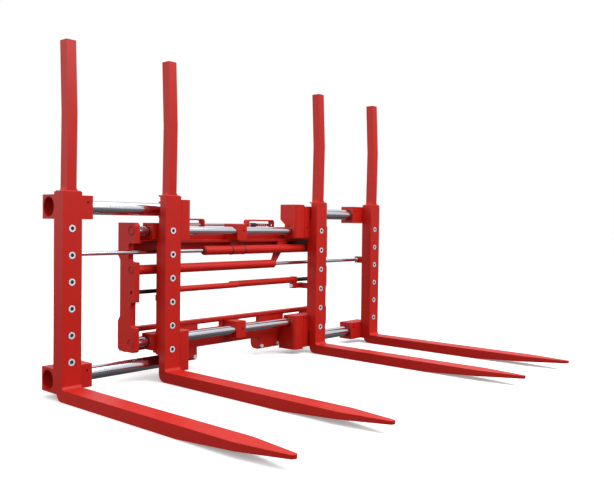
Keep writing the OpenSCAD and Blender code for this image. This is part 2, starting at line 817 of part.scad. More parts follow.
module end_plate_left() { color(red) place() end_plate(left_notches, left_spigots); }
module end_plate_right() { color(red) place() half(1) end_plate(right_notches, right_spigots); }
module top_beam() { color(red) place() upper_beam(); }
module bottom_beam() { color(red) place() slotted_beam(); }
module frame_rod_top() { color(steel) place() frame_rod(frame_top_z); }
module frame_rod_bottom() { color(steel) place() frame_rod(frame_low_z); }
module rod_support_top() { color(red) place() upper_support(); }
module rod_support_bottom() {
    color(red) place() rod_support(frame_low_z, frame_low_z - 38, low_beam_z + low_beam_h - ledge_t - 4);
}
module top_hook_left() { color(red) place() top_hook(); }
module latch_bracket_left() { color(red) place() latch_bracket(); }
module lower_hook_left() { color(red) place() lower_hook(); }
module top_hook_right() { color(red) place() half(1) top_hook(); }
module latch_bracket_right() { color(red) place() half(1) latch_bracket(); }
module lower_hook_right() { color(red) place() half(1) lower_hook(); }
module lower_hook_bolts() { color(steel) place() hook_bolts(); }
module cylinder_bracket() { color(red) place() lower_saddle(); }
module cylinder_clamp() { color(red) place() upper_clamp(); }
module upper_cylinder_tube() { color(red) place() long_tube(long_top_z, long_top_d); }
module lower_cylinder_tube() { color(red) place() half(1) long_tube(long_low_z, long_low_d); }
module upper_cylinder_gland() { color(dark) place() long_gland(long_top_z, long_top_d); }
module lower_cylinder_gland() { color(dark) place() half(1) long_gland(long_low_z, long_low_d); }
module short_rod_left() { color(dark) place() short_rod(short_left_y, short_left_rod_d, short_left_d); }
module short_rod_right() {
    color(dark) place() half(1) short_rod(short_right_y, short_right_rod_d, short_right_d);
}
module port_block() { color(dark) place() ports(); }
module latch_bar() { color(steel) place() latch(); }
module latch_knob() { color(dark) place() knob(); }
module inner_carriage_left() { color(red) place() inner_carriage() short_arm(short_left_y); }
module inner_bushes_left() { color(dark) place() inner_bushes(); }
module guide_rod_top_left() { color(steel) place() guide_rod(guide_top_z); }
module guide_rod_bottom_left() { color(steel) place() guide_rod(guide_low_z); }
module fork_inner_left() { color(red) place() fork(-inner_x, 0); }
module backrest_inner_left() { color(red) place() backrest(-inner_x); }
module bolts_inner_left() { color(steel) place() { bolts(-inner_x, 0); arm_bolt(short_left_y); } }
module short_cylinder_left() {
    color(red) place() short_cylinder(short_left_y, short_left_d, short_left_rod_d, short_left_end);
}
module inner_carriage_right() { color(red) place() half(1) inner_carriage() short_arm(short_right_y); }
module inner_bushes_right() { color(dark) place() half(1) inner_bushes(); }
module guide_rod_top_right() { color(steel) place() half(1) guide_rod(guide_top_z); }
module guide_rod_bottom_right() { color(steel) place() half(1) guide_rod(guide_low_z); }
module fork_inner_right() { color(red) place() half(1) fork(-inner_x, 0); }
module backrest_inner_right() { color(red) place() half(1) backrest(-inner_x); }
module bolts_inner_right() { color(steel) place() half(1) { bolts(-inner_x, 0); arm_bolt(short_right_y); } }
module short_cylinder_right() {
    color(red) place() half(1)
        short_cylinder(short_right_y, short_right_d, short_right_rod_d, short_right_end);
}
module outer_carriage_left() { color(red) place() outer_carriage(long_top_z); }
module outer_bushes_left() { color(dark) place() outer_bushes(); }
module outer_wipers_left() { color(dark) place() outer_wipers(); }
module fork_outer_left() { color(red) place() fork(-outer_x, outer_bolt_rise); }
module backrest_outer_left() { color(red) place() backrest(-outer_x); }
module bolts_outer_left() { color(steel) place() bolts(-outer_x, outer_bolt_rise); }
module long_rod_left() { color(steel) place() long_rod(long_top_z, long_top_d); }
module outer_carriage_right() { color(red) place() half(1) outer_carriage(long_low_z); }
module outer_bushes_right() { color(dark) place() half(1) outer_bushes(); }
module outer_wipers_right() { color(dark) place() half(1) outer_wipers(); }
module fork_outer_right() { color(red) place() half(1) fork(-outer_x, outer_bolt_rise); }
module backrest_outer_right() { color(red) place() half(1) backrest(-outer_x); }
module bolts_outer_right() { color(steel) place() half(1) bolts(-outer_x, outer_bolt_rise); }
module long_rod_right() { color(steel) place() half(1) long_rod(long_low_z, long_low_d); }

end_plate_left();
end_plate_right();
top_beam();
bottom_beam();
frame_rod_top();
frame_rod_bottom();
rod_support_top();
rod_support_bottom();
top_hook_left();
latch_bracket_left();
lower_hook_left();
top_hook_right();
latch_bracket_right();
lower_hook_right();
lower_hook_bolts();
cylinder_bracket();
cylinder_clamp();
upper_cylinder_tube();
lower_cylinder_tube();
upper_cylinder_gland();
lower_cylinder_gland();
short_rod_left();
short_rod_right();
port_block();
latch_bar();
latch_knob();
inner_carriage_left();
inner_bushes_left();
guide_rod_top_left();
guide_rod_bottom_left();
fork_inner_left();
backrest_inner_left();
bolts_inner_left();
short_cylinder_left();
inner_carriage_right();
inner_bushes_right();
guide_rod_top_right();
guide_rod_bottom_right();
fork_inner_right();
backrest_inner_right();
bolts_inner_right();
short_cylinder_right();
outer_carriage_left();
outer_bushes_left();
outer_wipers_left();
fork_outer_left();
backrest_outer_left();
bolts_outer_left();
long_rod_left();
outer_carriage_right();
outer_bushes_right();
outer_wipers_right();
fork_outer_right();
backrest_outer_right();
bolts_outer_right();
long_rod_right();
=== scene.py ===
import json
import math

import bpy
from mathutils import Euler, Matrix, Vector


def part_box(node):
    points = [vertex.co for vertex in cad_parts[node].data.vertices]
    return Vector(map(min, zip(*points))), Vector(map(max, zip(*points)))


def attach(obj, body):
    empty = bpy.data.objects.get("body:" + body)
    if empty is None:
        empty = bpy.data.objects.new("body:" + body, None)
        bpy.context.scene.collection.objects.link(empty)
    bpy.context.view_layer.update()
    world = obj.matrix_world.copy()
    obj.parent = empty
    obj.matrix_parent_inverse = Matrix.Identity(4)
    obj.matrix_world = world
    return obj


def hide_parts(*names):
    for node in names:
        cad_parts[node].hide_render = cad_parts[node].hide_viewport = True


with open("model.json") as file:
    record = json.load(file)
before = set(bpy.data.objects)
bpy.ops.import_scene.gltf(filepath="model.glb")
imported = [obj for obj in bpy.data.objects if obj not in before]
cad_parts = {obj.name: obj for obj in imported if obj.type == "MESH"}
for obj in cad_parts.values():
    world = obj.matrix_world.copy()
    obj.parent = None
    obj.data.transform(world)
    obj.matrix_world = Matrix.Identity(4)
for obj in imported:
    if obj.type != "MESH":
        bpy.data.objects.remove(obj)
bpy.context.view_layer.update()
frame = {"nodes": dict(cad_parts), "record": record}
nodeObjects = frame["nodes"]
bodyOfNode = {}
for bodyName, members in frame["record"]["behaviour"]["bodies"].items():
    for member in members:
        bodyOfNode[member] = bodyName
scene = bpy.context.scene
print("frame loaded:", len(nodeObjects), "nodes")

# camera, floor and light

view = {
    "place": (-2.428, -1.993, 0.674),
    "yaw": 48.9,      # degrees from +Y towards +X
    "down": 1.3,
    "roll": 0.74,
    "lens": 42.8,
}
lookTurn = Euler((math.radians(90 - view["down"]), 0, -math.radians(view["yaw"]))).to_matrix()
lookTurn = lookTurn @ Matrix.Rotation(math.radians(view["roll"]), 3, "Z")
bpy.ops.object.camera_add(location=view["place"], rotation=lookTurn.to_euler())
camera = bpy.context.object
camera.name = "mainCamera"
camera.data.lens = view["lens"]
camera.data.clip_end = 200
scene.camera = camera
scene.view_settings.view_transform = "Standard"

studio = {
    "floorSize": 120,
    "floorTone": (0.9, 0.9, 0.9, 1),
    "floorGlow": 0.30,   # keeps the far floor as pale as the backdrop
    "floorRough": 0.9,
    "floorDrop": 0.001,
    "skyStops": [(0.0, 0.05), (0.2, 0.12), (0.40, 0.22), (0.478, 0.20), (0.484, 0.03), (0.498, 0.03),
                 (0.506, 0.80), (0.7, 0.95), (1.0, 1.1)],
    "skyPower": 0.8,
    "backdrop": 1.0,
    "lamps": [("topLamp", (0.3, -0.4, 4.6), (0.1, 0.1, 0.2), 5.0, 130),
              ("frontLamp", (0.8, -3.6, 3.9), (0, 0.3, 0.5), 3.0, 165),
              ("sideLamp", (-4.6, 2.6, 1.6), (0, 0.3, 0.5), 3.0, 70)],
}


def layFloor():
    bpy.ops.mesh.primitive_plane_add(size=studio["floorSize"], location=(0, 0, -studio["floorDrop"]))
    floor = bpy.context.object
    floor.name = "studioFloor"
    floor.visible_diffuse = False
    floor.visible_glossy = False
    pale = bpy.data.materials.new("floorPale")
    pale.use_nodes = True
    face = pale.node_tree.nodes["Principled BSDF"]
    face.inputs["Base Color"].default_value = studio["floorTone"]
    face.inputs["Roughness"].default_value = studio["floorRough"]
    face.inputs["Emission Color"].default_value = studio["floorTone"]
    face.inputs["Emission Strength"].default_value = studio["floorGlow"]
    floor.data.materials.append(pale)


def hangLamps():
    for name, place, aim, size, power in studio["lamps"]:
        bpy.ops.object.light_add(type="AREA", location=place)
        lamp = bpy.context.object
        lamp.name = name
        lamp.data.shape = "SQUARE"
        lamp.data.size = size
        lamp.data.energy = power
        lamp.rotation_euler = (Vector(aim) - Vector(place)).to_track_quat("-Z", "Y").to_euler()


class Wire:
    # a socket whose sums and products add Math nodes to its own tree
    def __init__(self, tree, socket=None):
        self.tree = tree
        self.socket = socket

    def node(self, kind, settings=None, sockets=None, out=0):
        made = self.tree.nodes.new("ShaderNode" + kind)
        for key, value in (settings or {}).items():
            if key == "stops":
                setStops(made.color_ramp, value)
            else:
                setattr(made, key, value)
        for key, value in (sockets or {}).items():
            if isinstance(value, Wire):
                self.tree.links.new(value.socket, made.inputs[key])
            else:
                made.inputs[key].default_value = value
        return Wire(self.tree, made.outputs[out])

    def maths(self, operation, first, second):
        return self.node("Math", {"operation": operation}, {0: first, 1: second})

    def blend(self, first, second):
        return self.node("Mix", {"data_type": "RGBA"}, {0: self, 6: first, 7: second}, out=2)

    def __add__(self, other):
        return self.maths("ADD", self, other)

    def __sub__(self, other):
        return self.maths("SUBTRACT", self, other)

    def __rsub__(self, other):
        return self.maths("SUBTRACT", other, self)

    def __mul__(self, other):
        return self.maths("MULTIPLY", self, other)

    __radd__ = __add__
    __rmul__ = __mul__


def setStops(ramp, stops):
    while len(ramp.elements) < len(stops):
        ramp.elements.new(1)
    for element, (place, tone) in zip(ramp.elements, stops):
        element.position = place
        element.color = (tone, tone, tone, 1) if isinstance(tone, (int, float)) else (*tone, 1)


def lightSky():
    world = bpy.data.worlds.new("studioSky")
    scene.world = world
    world.use_nodes = True
    tree = world.node_tree
    tree.nodes.clear()
    start = Wire(tree)
    up = start.node("SeparateXYZ", sockets={0: start.node("TexCoord")}, out=2)
    height = up * 0.5 + 0.5
    sky = start.node("ValToRGB", {"stops": studio["skyStops"]}, {0: height})
    seen = start.node("LightPath")
    tone = seen.blend(sky, (studio["backdrop"],) * 3 + (1,))
    power = seen * (studio["backdrop"] - studio["skyPower"]) + studio["skyPower"]
    back = start.node("Background", sockets={0: tone, 1: power})
    end = tree.nodes.new("ShaderNodeOutputWorld")
    tree.links.new(back.socket, end.inputs[0])


layFloor()
hangLamps()
lightSky()
print("studio ready")

# finishes


def newFinish(name):
    made = bpy.data.materials.new(name)
    made.use_nodes = True
    tree = made.node_tree
    face = tree.nodes["Principled BSDF"]
    here = Wire(tree).node("TexCoord", out=3)
    return made, face, here


def connect(face, **sockets):
    for key, value in sockets.items():
        target = face.inputs[{"colour": "Base Color", "rough": "Roughness", "metal": "Metallic",
                              "gloss": "Specular IOR Level", "normal": "Normal"}[key]]
        if isinstance(value, Wire):
            face.id_data.links.new(value.socket, target)
        else:
            target.default_value = value


def stretched(here, scale):
    return here.node("Mapping", sockets={"Vector": here, "Scale": scale})


def cloud(here, scale, detail=3.0, where=None):
    return here.node("TexNoise", sockets={"Vector": where or here, "Scale": scale, "Detail": detail})


def bumped(here, height, strength, depth):
    return here.node("Bump", sockets={"Height": height, "Strength": strength, "Distance": depth})


redPaint = {
    "deep": (0.455, 0.008, 0.0035, 1),
    "bright": (0.56, 0.013, 0.006, 1),
    "rough": 0.42,
    "gloss": 0.30,
    "broadScale": 2.4,
    "fineScale": 26,
    "roughSwing": 0.14,
    "peelScale": 190,
    "grainScale": 900,
    "peelStrength": 0.10,
    "peelDepth": 0.0004,
}


def paintFinish(name, look, grainy=0.0):
    made, face, here = newFinish(name)
    broad = cloud(here, look["broadScale"], 2.0)
    fine = cloud(here, look["fineScale"], 4.0)
    tone = (broad * 0.6 + fine * 0.4).blend(look["deep"], look["bright"])
    peel = cloud(here, look["peelScale"], 2.0) + cloud(here, look["grainScale"], 1.0) * grainy
    connect(face, colour=tone, rough=look["rough"] + (fine - 0.5) * look["roughSwing"],
            gloss=look["gloss"], normal=bumped(here, peel, look["peelStrength"], look["peelDepth"]))
    return made


chromeLook = {
    "tone": (0.82, 0.85, 0.92, 1),
    "dull": (0.70, 0.74, 0.83, 1),
    "rough": 0.07,
    "roughSwing": 0.05,
    "lineStretch": (3, 700, 700),   # long fine lines along the rod
    "filmScale": 9,
    "lineStrength": 0.05,
    "lineDepth": 0.0001,
}


def chromeFinish(name, look):
    made, face, here = newFinish(name)
    lines = cloud(here, 1.0, 3.0, stretched(here, look["lineStretch"]))
    film = cloud(here, look["filmScale"], 4.0)
    connect(face, colour=film.blend(look["tone"], look["dull"]), metal=1.0,
            rough=look["rough"] + lines * look["roughSwing"] + film * look["roughSwing"],
            normal=bumped(here, lines, look["lineStrength"], look["lineDepth"]))
    return made


zincLook = {
    "tone": (0.94, 0.96, 0.98, 1),
    "stain": (0.74, 0.80, 0.86, 1),
    "rough": 0.42,
    "metal": 0.45,
    "roughSwing": 0.12,
    "cellScale": 420.0,
    "filmScale": 60,
    "cellStrength": 0.08,
    "cellDepth": 0.0002,
}


def zincFinish(name, look):
    made, face, here = newFinish(name)
    cell = here.node("TexVoronoi", sockets={"Vector": here, "Scale": look["cellScale"]})
    film = cloud(here, look["filmScale"], 3.0)
    connect(face, colour=film.blend(look["tone"], look["stain"]), metal=look["metal"],
            rough=look["rough"] + cell * look["roughSwing"],
            normal=bumped(here, cell, look["cellStrength"], look["cellDepth"]))
    return made


darkLooks = {
    # name: (deeper tone, paler tone, roughness, metallic)
    # the socket finish is painted shade: a much darker blue-grey than the zinc head, for the inside of each
    # hex recess
    "socketShade": ((0.05, 0.12, 0.18, 1), (0.16, 0.28, 0.38, 1), 0.35, 0.5),
    "blackSteel": ((0.012, 0.012, 0.014, 1), (0.035, 0.035, 0.04, 1), 0.34, 0.3),
    "blackOxide": ((0.008, 0.008, 0.009, 1), (0.02, 0.02, 0.023, 1), 0.22, 0.4),
    "rubber": ((0.010, 0.010, 0.010, 1), (0.028, 0.027, 0.026, 1), 0.62, 0.0),
    "knobPlastic": ((0.012, 0.012, 0.013, 1), (0.03, 0.03, 0.032, 1), 0.45, 0.0),
    "bronze": ((0.24, 0.13, 0.05, 1), (0.40, 0.25, 0.10, 1), 0.38, 1.0),
    "boreShade": ((0.10, 0.004, 0.003, 1), (0.16, 0.006, 0.004, 1), 0.5, 0.0),
}


mottle = {"broadScale": 22, "fineScale": 380, "roughSwing": 0.2, "strength": 0.1, "depth": 0.0002}


def mottledFinish(name, look):
    made, face, here = newFinish(name)
    low, high, rough, metal = look
    broad = cloud(here, mottle["broadScale"], 4.0)
    fine = cloud(here, mottle["fineScale"], 3.0)
    connect(face, colour=(broad * 0.6 + fine * 0.4).blend(low, high), metal=metal,
            rough=rough + (fine - 0.5) * mottle["roughSwing"],
            normal=bumped(here, fine, mottle["strength"], mottle["depth"]))
    return made


finish = {
    "redPaint": paintFinish("redPaint", redPaint),
    "weldPaint": paintFinish("weldPaint", redPaint, grainy=1.5),
    "chrome": chromeFinish("chromeRod", chromeLook),
    "zinc": zincFinish("zincPlate", zincLook),
}
for finishName, finishLook in darkLooks.items():
    finish[finishName] = mottledFinish(finishName, finishLook)
print("finishes:", len(finish))

# helpers for modelling


def pickNone():
    if bpy.context.object and bpy.context.object.mode != "OBJECT":
        bpy.ops.object.mode_set(mode="OBJECT")
    bpy.ops.object.select_all(action="DESELECT")


def pick(piece):
    pickNone()
    piece.select_set(True)
    bpy.context.view_layer.objects.active = piece


def addModifier(piece, kind, **settings):
    added = piece.modifiers.new(kind.lower(), kind)
    for key, value in settings.items():
        setattr(added, key, value)
    bpy.ops.object.modifier_apply(modifier=added.name)


def settle(piece, name, body, finishName, angle=46):
    pick(piece)
    piece.name = name
    piece.data.name = name
    bpy.ops.object.transform_apply(location=True, rotation=True, scale=True)
    bpy.ops.object.shade_smooth_by_angle(angle=math.radians(angle))
    addModifier(piece, "WEIGHTED_NORMAL", mode="FACE_AREA", keep_sharp=True)
    if not piece.data.materials:
        piece.data.materials.append(finish[finishName])
    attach(piece, body)
    return piece


# dressed copies of the machined parts: broken edges, merged skins, real finishes

dressing = {
    # node: (edge width in mm, segments, record slot, finish)
    "end_plate": (2.2, 2, "red_paint", "redPaint"),
    "top_beam": (2.0, 2, "red_paint", "redPaint"),
    "bottom_beam": (2.0, 2, "red_paint", "redPaint"),
    "frame_rod_top": (0.8, 2, "rod_chrome", "chrome"),
    "frame_rod_bottom": (0.8, 2, "rod_chrome", "chrome"),
    "rod_support": (2.0, 2, "red_paint", "redPaint"),
    "top_hook": (2.5, 2, "red_paint", "redPaint"),
    "latch_bracket": (1.2, 2, "red_paint", "redPaint"),
    "lower_hook_left": (2.5, 2, "red_paint", "redPaint"),
    "lower_hook_right": (2.5, 2, "red_paint", "redPaint"),
    "lower_hook_bolts": (0.8, 2, "bolt_zinc", "zinc"),
    "cylinder_bracket": (1.0, 2, "red_paint", "redPaint"),
    "cylinder_clamp": (0.8, 2, "red_paint", "redPaint"),
    "upper_cylinder_tube": (1.4, 3, "red_paint", "redPaint"),
    "lower_cylinder_tube": (1.4, 3, "red_paint", "redPaint"),
    "upper_cylinder_gland": (0.8, 2, "red_paint", "redPaint"),
    "lower_cylinder_gland": (0.8, 2, "red_paint", "redPaint"),
    "short_rod": (0.6, 2, "black_rod", "blackOxide"),
    "port_block": (1.5, 2, "black_steel", "blackSteel"),
    "latch_bar": (0.8, 2, "bolt_zinc", "chrome"),
    "latch_knob": (1.4, 3, "knob_plastic", "knobPlastic"),
    "inner_carriage": (1.4, 2, "red_paint", "redPaint"),
    "inner_bushes": (0.6, 2, "bronze", "bronze"),
    "guide_rod": (0.8, 2, "rod_chrome", "chrome"),
    "fork": (3.0, 3, "red_paint", "redPaint"),
    "backrest": (4.0, 3, "red_paint", "redPaint"),
    "bolts": (0.9, 2, "bolt_zinc", "zinc"),
    "short_cylinder": (1.2, 2, "red_paint", "redPaint"),
    "outer_carriage": (1.6, 2, "red_paint", "redPaint"),
    "outer_bushes": (0.6, 2, "bronze", "bronze"),
    "outer_wipers": (0.9, 2, "wiper_rubber", "rubber"),
    "long_rod": (0.6, 2, "rod_chrome", "chrome"),
}


edgeRule = {"merge": 0.00001, "flatAngle": 0.8, "bevelAngle": 34}   # metres, then degrees


def dressingOf(node):
    known = [key for key in dressing if node.startswith(key)]
    return dressing[max(known, key=len)]


def dressNode(node):
    width, segments, slotName, finishName = dressingOf(node)
    piece = bpy.data.objects.new(node + "_finished", nodeObjects[node].data.copy())
    scene.collection.objects.link(piece)
    piece.data.materials.clear()
    pick(piece)
    bpy.ops.object.mode_set(mode="EDIT")
    bpy.ops.mesh.select_all(action="SELECT")
    bpy.ops.mesh.remove_doubles(threshold=edgeRule["merge"])
    bpy.ops.mesh.dissolve_limited(angle_limit=math.radians(edgeRule["flatAngle"]))
    bpy.ops.object.mode_set(mode="OBJECT")
    addModifier(piece, "BEVEL", width=width / 1000, segments=segments, limit_method="ANGLE",
                angle_limit=math.radians(edgeRule["bevelAngle"]), harden_normals=False, use_clamp_overlap=True)
    settle(piece, node + "_finished", bodyOfNode[node], finishName)
    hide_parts(node)
    return piece


dressed = {node: dressNode(node) for node in sorted(nodeObjects)}
print("dressed", len(dressed), "parts")


def repaint(piece, finishName, wanted):
    # gives another finish to the faces that wanted() picks
    piece.data.materials.append(finish[finishName])
    index = len(piece.data.materials) - 1
    for face in piece.data.polygons:
        if wanted(face):
            face.material_index = index


frameHalf = max(abs(c.x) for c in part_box("end_plate_left"))
rodEndDepth = 0.0012   # how much of a frame rod's end is painted over
for node in ("frame_rod_top", "frame_rod_bottom"):
    repaint(dressed[node], "redPaint", lambda face: abs(face.center.x) > frameHalf - rodEndDepth)

# metres from the bolt's axis, and the depths below the front of its head
boltSocket = {"reach": 0.0086, "from": 0.002, "to": 0.0095}


def paintSockets(piece, node, axes):
    # axes are the bolts' centres, as (x, z)
    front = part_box(node)[0].y

    def inSocket(face):
        at = face.center
        if not boltSocket["from"] < at.y - front < boltSocket["to"]:
            return False
        return any(math.hypot(at.x - x, at.z - z) < boltSocket["reach"] for x, z in axes)

    # the faces inside each hex socket get the darker blue-grey finish, as painted shade in the recess
    repaint(piece, "socketShade", inSocket)


boltRows = {"inner": 0.136, "outer": 0.144, "pitch": 0.1, "count": 6}
for place in ("inner", "outer"):
    for side in ("left", "right"):
        middle = sum(c.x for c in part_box(f"fork_{place}_{side}")) / 2
        axes = [(middle, boltRows[place] + boltRows["pitch"] * i) for i in range(boltRows["count"])]
        bolts = f"bolts_{place}_{side}"
        paintSockets(dressed[bolts], bolts, axes)
print("repainted rod ends and sockets")

# weld beads: a round bar cut into short rings, every other ring a little fatter

weld = {"step": 0.0042, "fat": 1.22, "sides": 10, "smooth": 70}


def beadAlong(name, start, end, radius, body):
    start, end = Vector(start), Vector(end)
    run = end - start
    rings = max(4, int(run.length / weld["step"]))
    pickNone()
    bpy.ops.mesh.primitive_cylinder_add(vertices=weld["sides"], radius=radius, depth=run.length,
                                        location=(0, 0, 0))
    bead = bpy.context.object
    bpy.ops.object.mode_set(mode="EDIT")
    bpy.ops.mesh.select_all(action="DESELECT")
    bpy.ops.object.mode_set(mode="OBJECT")
    for edge in bead.data.edges:
        low, high = (bead.data.vertices[i].co.z for i in edge.vertices)
        edge.select = abs(high - low) > run.length / 2
    bpy.ops.object.mode_set(mode="EDIT")
    bpy.ops.mesh.select_mode(type="EDGE")
    bpy.ops.mesh.subdivide(number_cuts=rings - 1)
    bpy.ops.mesh.select_mode(type="VERT")
    bpy.ops.mesh.select_all(action="DESELECT")
    bpy.ops.object.mode_set(mode="OBJECT")
    for vertex in bead.data.vertices:
        ring = round((vertex.co.z / run.length + 0.5) * rings)
        vertex.select = ring % 2 == 1
    bpy.ops.object.mode_set(mode="EDIT")
    bpy.ops.transform.resize(value=(weld["fat"], weld["fat"], 1))
    bpy.ops.object.mode_set(mode="OBJECT")
    bead.rotation_euler = run.to_track_quat("Z", "Y").to_euler()
    bead.location = (start + end) / 2
    return settle(bead, name, body, "weldPaint", angle=weld["smooth"])


def beadRing(name, centre, radius, thick, body):
    # a ring of weld round a bar that lies along X
    pickNone()
    around = max(24, int(2 * math.pi * radius / weld["step"] / 2) * 2)
    bpy.ops.mesh.primitive_torus_add(major_segments=around, minor_segments=8, major_radius=radius,
                                     minor_radius=thick, location=centre, rotation=(0, math.pi / 2, 0))
    bead = bpy.context.object
    bpy.ops.object.mode_set(mode="EDIT")
    bpy.ops.mesh.select_all(action="DESELECT")
    bpy.ops.object.mode_set(mode="OBJECT")
    for vertex in bead.data.vertices:
        turnAt = math.atan2(vertex.co.y, vertex.co.x) / (2 * math.pi) * around
        vertex.select = round(turnAt) % 2 == 0 and abs(vertex.co.z) > thick / 3
    bpy.ops.object.mode_set(mode="EDIT")
    bpy.ops.transform.resize(value=(1, 1, weld["fat"]), orient_type="LOCAL")
    bpy.ops.object.mode_set(mode="OBJECT")
    return settle(bead, name, body, "weldPaint", angle=weld["smooth"])


def footOf(node):
    # the height and the rectangle that an upright bar stands on
    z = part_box(node)[0].z
    touching = [v.co for v in nodeObjects[node].data.vertices if v.co.z < z + 0.001]
    across = [c.x for c in touching]
    deep = [c.y for c in touching]
    return z, min(across), max(across), min(deep), max(deep)


barWeld = {"radius": 0.0032, "short": 0.001}

for place in ("inner", "outer"):
    for side in ("left", "right"):
        z, x0, x1, y0, y1 = footOf(f"backrest_{place}_{side}")
        body = f"{place}_{side}"
        for name, y in (("front", y0), ("rear", y1)):
            beadAlong(f"bar_weld_{name}_{body}", (x0 + barWeld["short"], y, z),
                      (x1 - barWeld["short"], y, z), barWeld["radius"], body)

# bead radii, then the places of beads inside their pieces' boxes, in metres
frameWeld = {
    "beam": 0.0035,
    "support": 0.0028,
    "hook": 0.003,
    "strap": 0.002,
    "clamp": 0.0022,
    "top_beam": 0.046,      # depth of the ledge in front of the upright part
    "bottom_beam": 0.010,
    "beamFrom": 0.03,
    "short": 0.002,
    "supportDeep": 0.093,
    "clampIn": 0.019,
    "clampLong": 0.026,
    "hangerWide": 0.066,
    "hangerDeep": 0.023,
}
short = frameWeld["short"]

plates = {side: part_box("end_plate_" + side) for side in ("left", "right")}
for beam in ("top_beam", "bottom_beam"):
    low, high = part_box(beam)
    front = low.y + frameWeld[beam]
    for side in ("left", "right"):
        x = plates[side][1].x if side == "left" else plates[side][0].x
        beadAlong(f"{beam}_weld_{side}", (x, front, low.z + frameWeld["beamFrom"]),
                  (x, front, high.z - short), frameWeld["beam"], "frame")

for level, beam in (("top", "top_beam"), ("bottom", "bottom_beam")):
    node = "rod_support_" + level
    low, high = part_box(node)
    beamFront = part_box(beam)[0].y
    z = low.z if level == "top" else high.z
    for name, x in (("left", low.x), ("right", high.x)):
        beadAlong(f"{node}_weld_{name}", (x, beamFront + short, z),
                  (x, low.y + frameWeld["supportDeep"], z), frameWeld["support"], "frame")

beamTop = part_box("top_beam")[1].z
for side in ("left", "right"):
    low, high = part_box("top_hook_" + side)
    beadAlong("hook_weld_front_" + side, (low.x, low.y, beamTop), (high.x, low.y, beamTop),
              frameWeld["hook"], "frame")
    strapLow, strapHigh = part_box("latch_bracket_" + side)
    for name, x in (("left", strapLow.x), ("right", strapHigh.x)):
        beadAlong(f"strap_weld_{name}_{side}", (x, strapLow.y, strapLow.z), (x, strapHigh.y, strapLow.z),
                  frameWeld["strap"], "frame")

low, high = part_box("cylinder_clamp")
for name, x in (("left", low.x + frameWeld["clampIn"]), ("right", high.x - frameWeld["clampIn"])):
    beadAlong("clamp_weld_" + name, (x, high.y - frameWeld["clampLong"], high.z),
              (x, high.y - short, high.z), frameWeld["clamp"], "frame")
low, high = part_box("cylinder_bracket")
y = low.y + frameWeld["hangerDeep"]
beadAlong("hanger_weld", (high.x - frameWeld["hangerWide"], y, high.z), (high.x - short, y, high.z),
          frameWeld["clamp"], "frame")

# rings where rods and tubes end in the side plates

# the thinner, darker ring inside each weld ring is painted shade of the gap round the rod's end
rodRing = {"frameRod": 0.0205, "spigot": 0.0165, "thick": 0.0016, "groove": 0.0009, "grooveIn": 0.0028}


def axisOf(node):
    low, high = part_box(node)
    return (low.y + high.y) / 2, (low.z + high.z) / 2


for side, x in (("left", plates["left"][0].x), ("right", plates["right"][1].x)):
    ends = {"frame_rod_top": rodRing["frameRod"], "frame_rod_bottom": rodRing["frameRod"],
            "lower_cylinder_tube" if side == "left" else "upper_cylinder_tube": rodRing["spigot"]}
    for node, radius in ends.items():
        y, z = axisOf(node)
        beadRing(f"{node}_end_ring_{side}", (x, y, z), radius, rodRing["thick"], "frame")
        # a thin dark red ring, painted shade of the gap round the rod's end, not a part of its own
        groove = beadRing(f"{node}_end_groove_{side}", (x, y, z), radius - rodRing["grooveIn"],
                          rodRing["groove"], "frame")
        groove.data.materials.clear()
        groove.data.materials.append(finish["boreShade"])
print("weld beads done")

# seals, bands and small fittings

fitting = {
    "bandThick": 0.0020,
    "bandOut": 0.0018,
    "bandLoose": 0.0003,
    "bandWide": 2.4,
    "rodRadius": 0.0085,
    "sealThick": 0.0020,
    "sealLoose": 1.2,
    # size and place of the black ring in each gland, which is painted shade of the gland's groove
    "grooveThick": 0.0012,
    "grooveBack": 0.004,
    "grooveIn": 0.0035,
    "screwRadius": 0.0044,
    "screwDepth": 0.006,
    "screwSunk": 0.0008,
    "screwEdge": 0.0005,
    "hexAcross": 0.0044,
    "hexDepth": 0.003,
    "plugRadius": 0.0098,
    "plugHeight": 0.008,
    "plugEdge": 0.0012,
    "plugHex": 0.008,
    "plugHexDepth": 0.004,
    "plugBack": 0.018,
    "plugCount": 4,
}
screwPlace = {
    "supportIn": 0.020,
    "supportUp": 0.002,
    "castingOut": 0.058,
    "castingBack": 0.010,
    "castingUp": 0.017,
    "blockOut": 0.105,
    "blockBack": 0.024,
    "blockUp": 0.020,
}


def smoothRing(name, centre, radius, thick, body, finishName, wide=1.0):
    pickNone()
    bpy.ops.mesh.primitive_torus_add(major_segments=56, minor_segments=10, major_radius=radius,
                                     minor_radius=thick, location=centre, rotation=(0, math.pi / 2, 0))
    ring = bpy.context.object
    ring.scale = (1, 1, wide)
    return settle(ring, name, body, finishName, angle=60)


low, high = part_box("cylinder_clamp")
y, z = axisOf("upper_cylinder_tube")
tubeRadius = (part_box("upper_cylinder_tube")[1].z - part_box("upper_cylinder_tube")[0].z) / 2
for name, x in (("left", low.x - fitting["bandOut"]), ("right", high.x + fitting["bandOut"])):
    smoothRing("clamp_band_" + name, (x, y, z), tubeRadius + fitting["bandLoose"], fitting["bandThick"],
               "frame", "rubber", wide=fitting["bandWide"])

for cylinder, sign in (("upper", -1), ("lower", 1)):
    y, z = axisOf(cylinder + "_cylinder_tube")
    low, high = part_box(cylinder + "_cylinder_gland")
    x = low.x if sign < 0 else high.x
    sealRadius = fitting["rodRadius"] + fitting["sealThick"] * fitting["sealLoose"]
    smoothRing(cylinder + "_rod_seal", (x, y, z), sealRadius, fitting["sealThick"],
               "frame", "rubber")
    # the black ring 4 mm back from the gland's end is painted shade of the gland's groove
    smoothRing(cylinder + "_gland_groove", (x - sign * fitting["grooveBack"], y, z),
               tubeRadius - fitting["grooveIn"], fitting["grooveThick"], "frame", "rubber")


